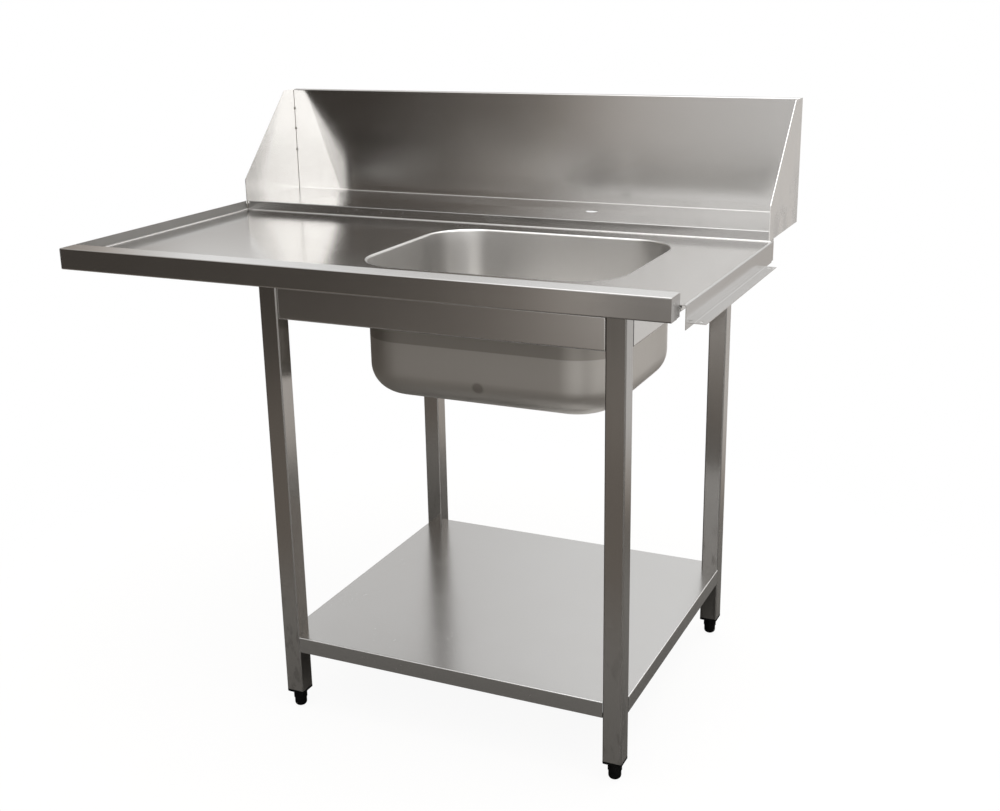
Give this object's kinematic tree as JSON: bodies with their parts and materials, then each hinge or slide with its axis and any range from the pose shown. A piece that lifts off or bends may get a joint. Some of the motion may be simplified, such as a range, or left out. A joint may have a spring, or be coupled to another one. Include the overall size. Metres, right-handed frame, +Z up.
{
  "type": "sink table",
  "caption": "Steel sink table for a dishwasher: recessed worktop with pressed bowl, rear ledge, splashback, docking flange, square legs, bottom shelf and levelling feet.",
  "frame": {"origin": "on the floor, below the middle of the whole table", "axes": "+X along the table towards the docking end, +Y from the front rim to the splashback, +Z up"},
  "size_m": [1.22, 0.84, 1.1],
  "materials": {
    "brushed_sheet": "satin, brushed along the table",
    "end_sheet": "satin, fine brushed",
    "pressed_bowl": "satin, pressed",
    "shelf_sheet": "satin, brushed along the table",
    "leg_tube": "satin, brushed upright",
    "rail_sheet": "satin, brushed along the rail",
    "hidden_sheet": "mill finish",
    "polished_waste": "polished",
    "nut_plastic": "moulded",
    "seal_rubber": "matt",
    "stem_steel": "zinc plated thread",
    "black_plastic": "moulded, slight sheen"
  },
  "bodies": {
    "table": {"worktop": "brushed_sheet", "docking_flange": "end_sheet", "front_rim_cap_left": "end_sheet", "front_rim_cap_right": "end_sheet", "splashback": "brushed_sheet", "left_side_panel": "end_sheet", "right_side_panel": "end_sheet", "sink_bowl": "pressed_bowl", "bottom_shelf": "shelf_sheet", "waste_flange": "polished_waste", "waste_strainer": "polished_waste", "waste_seal": "seal_rubber", "waste_backnut": "nut_plastic", "front_rail": "rail_sheet", "rear_rail": "rail_sheet", "left_rail": "rail_sheet", "right_rail": "rail_sheet", "worktop_stiffener_front": "hidden_sheet", "worktop_stiffener_rear": "hidden_sheet", "shelf_stiffener_front": "hidden_sheet", "shelf_stiffener_rear": "hidden_sheet", "ledge_bracket_left": "hidden_sheet", "ledge_bracket_middle": "hidden_sheet", "ledge_bracket_right": "hidden_sheet", "leg_front_left": "leg_tube", "leg_front_right": "leg_tube", "leg_rear_left": "leg_tube", "leg_rear_right": "leg_tube", "foot_insert_front_left": "black_plastic", "foot_insert_front_right": "black_plastic", "foot_insert_rear_left": "black_plastic", "foot_insert_rear_right": "black_plastic"},
    "foot_front_left": {"levelling_foot_front_left": "black_plastic", "foot_stem_front_left": "stem_steel"},
    "foot_front_right": {"levelling_foot_front_right": "black_plastic", "foot_stem_front_right": "stem_steel"},
    "foot_rear_left": {"levelling_foot_rear_left": "black_plastic", "foot_stem_rear_left": "stem_steel"},
    "foot_rear_right": {"levelling_foot_rear_right": "black_plastic", "foot_stem_rear_right": "stem_steel"}
  },
  "joints": [
    {"name": "foot_front_left_adjust", "type": "slide", "parent": "table", "child": "foot_front_left", "axis": [0, 0, -1], "range_m": [0, 0.025]},
    {"name": "foot_front_right_adjust", "type": "slide", "parent": "table", "child": "foot_front_right", "axis": [0, 0, -1], "range_m": [0, 0.025]},
    {"name": "foot_rear_left_adjust", "type": "slide", "parent": "table", "child": "foot_rear_left", "axis": [0, 0, -1], "range_m": [0, 0.025]},
    {"name": "foot_rear_right_adjust", "type": "slide", "parent": "table", "child": "foot_rear_right", "axis": [0, 0, -1], "range_m": [0, 0.025]}
  ]
}
